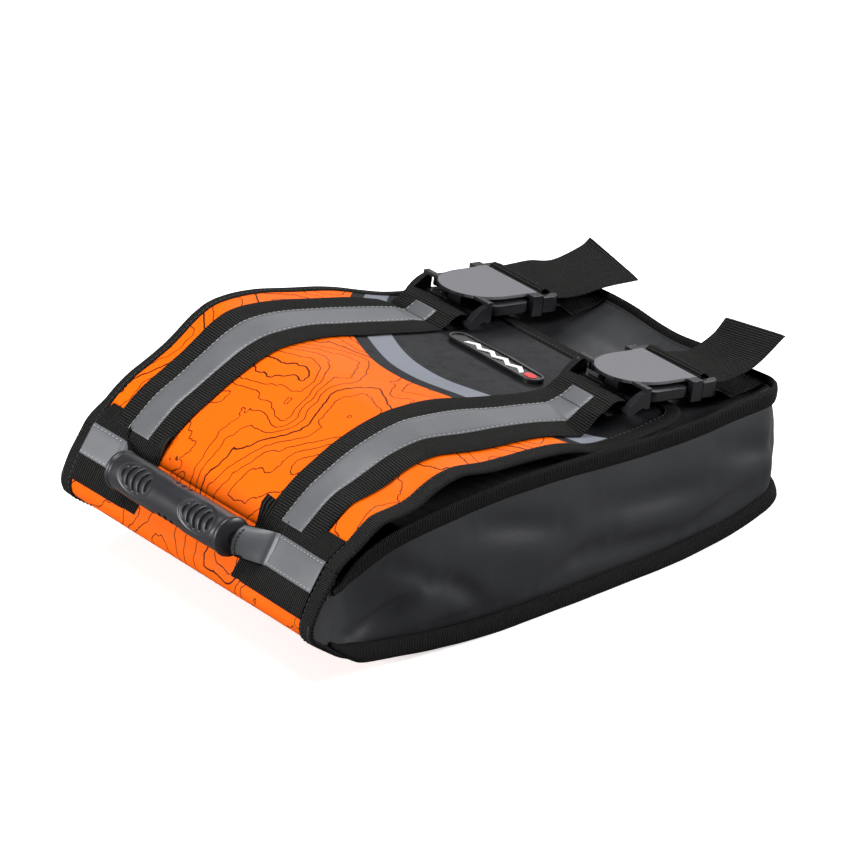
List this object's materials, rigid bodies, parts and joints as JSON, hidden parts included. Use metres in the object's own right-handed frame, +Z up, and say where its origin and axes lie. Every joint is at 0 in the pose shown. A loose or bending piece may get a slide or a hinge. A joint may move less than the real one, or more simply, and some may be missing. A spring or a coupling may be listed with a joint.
{
  "type": "gear satchel",
  "caption": "Flat soft satchel with a wrap-over flap, two webbing straps with side-release buckles, reflective tape and a moulded carrying grip.",
  "frame": {"origin": "on the floor under the middle of the pouch, lying on its back", "axes": "+X from the handle end to the base, +Y across the straps, +Z up out of the flap"},
  "size_m": [0.4019, 0.2448, 0.1233],
  "materials": {
    "orange_cloth": "printed coated fabric, satin",
    "black_cloth": "PVC coated fabric, satin",
    "binding": "ribbed grosgrain tape",
    "webbing": "woven webbing",
    "reflective_tape": "retroreflective tape, satin",
    "grey_plastic": "moulded, fine texture",
    "black_plastic": "moulded, satin",
    "grip_rubber": "moulded rubber, satin",
    "badge_rubber": "glossy moulded rubber"
  },
  "bodies": {
    "pouch": {"back_panel": "orange_cloth", "front_panel": "black_cloth", "side_gusset_near": "black_cloth", "side_gusset_far": "black_cloth", "base_gusset": "black_cloth", "back_seam_binding": "binding", "front_seam_binding": "binding", "top_end_binding": "binding", "handle_patch_near": "webbing", "handle_patch_far": "webbing", "handle_patch_tape": "reflective_tape", "anchor_strap_near": "webbing", "anchor_strap_far": "webbing"},
    "flap": {"flap_panel": "orange_cloth", "flap_binding": "binding", "badge": "badge_rubber", "flap_strap_near": "webbing", "flap_strap_far": "webbing", "strap_tape_near": "reflective_tape", "strap_tape_far": "reflective_tape", "buckle_socket_near": "grey_plastic", "buckle_socket_far": "grey_plastic"},
    "handle": {"handle_grip": "grip_rubber", "handle_webbing": "reflective_tape"},
    "near_plug": {"buckle_plug_near": "black_plastic", "tail_strap_near": "webbing"},
    "far_plug": {"buckle_plug_far": "black_plastic", "tail_strap_far": "webbing"},
    "near_arm_inner": {"latch_arm_near_inner": "black_plastic"},
    "near_arm_outer": {"latch_arm_near_outer": "black_plastic"},
    "far_arm_inner": {"latch_arm_far_inner": "black_plastic"},
    "far_arm_outer": {"latch_arm_far_outer": "black_plastic"}
  },
  "joints": [
    {"name": "flap_hinge", "type": "hinge", "parent": "pouch", "child": "flap", "pos_m": [-0.1535, 0, 0.0875], "axis": [0, -1, 0], "range_deg": [0, 120]},
    {"name": "handle_swing", "type": "hinge", "parent": "pouch", "child": "handle", "pos_m": [-0.16717, 0, 0.06633], "axis": [0, -1, 0], "range_deg": [-20, 40], "deforming": ["handle_webbing"]},
    {"name": "near_unclip", "type": "slide", "parent": "pouch", "child": "near_plug", "axis": [0.9877, 0, -0.1564], "range_m": [0, 0.042], "deforming": ["anchor_strap_near", "latch_arm_near_inner", "latch_arm_near_outer"]},
    {"name": "near_squeeze", "type": "hinge", "parent": "near_plug", "child": "near_arm_inner", "pos_m": [0.124, -0.054, 0.0998], "axis": [0.1564, 0, 0.9877], "range_deg": [0, 7]},
    {"name": "near_squeeze_outer", "type": "hinge", "parent": "near_plug", "child": "near_arm_outer", "pos_m": [0.124, -0.098, 0.0998], "axis": [0.1564, 0, 0.9877], "range_deg": [-7, 0]},
    {"name": "far_unclip", "type": "slide", "parent": "pouch", "child": "far_plug", "axis": [0.9877, 0, -0.1564], "range_m": [0, 0.042], "deforming": ["anchor_strap_far", "latch_arm_far_inner", "latch_arm_far_outer"]},
    {"name": "far_squeeze", "type": "hinge", "parent": "far_plug", "child": "far_arm_inner", "pos_m": [0.124, 0.054, 0.0998], "axis": [-0.1564, 0, -0.9877], "range_deg": [0, 7]},
    {"name": "far_squeeze_outer", "type": "hinge", "parent": "far_plug", "child": "far_arm_outer", "pos_m": [0.124, 0.098, 0.0998], "axis": [-0.1564, 0, -0.9877], "range_deg": [-7, 0]}
  ],
  "couplings": [
    {"joint": "near_squeeze_outer", "follows": "near_squeeze", "ratio": -1},
    {"joint": "far_squeeze_outer", "follows": "far_squeeze", "ratio": -1}
  ]
}
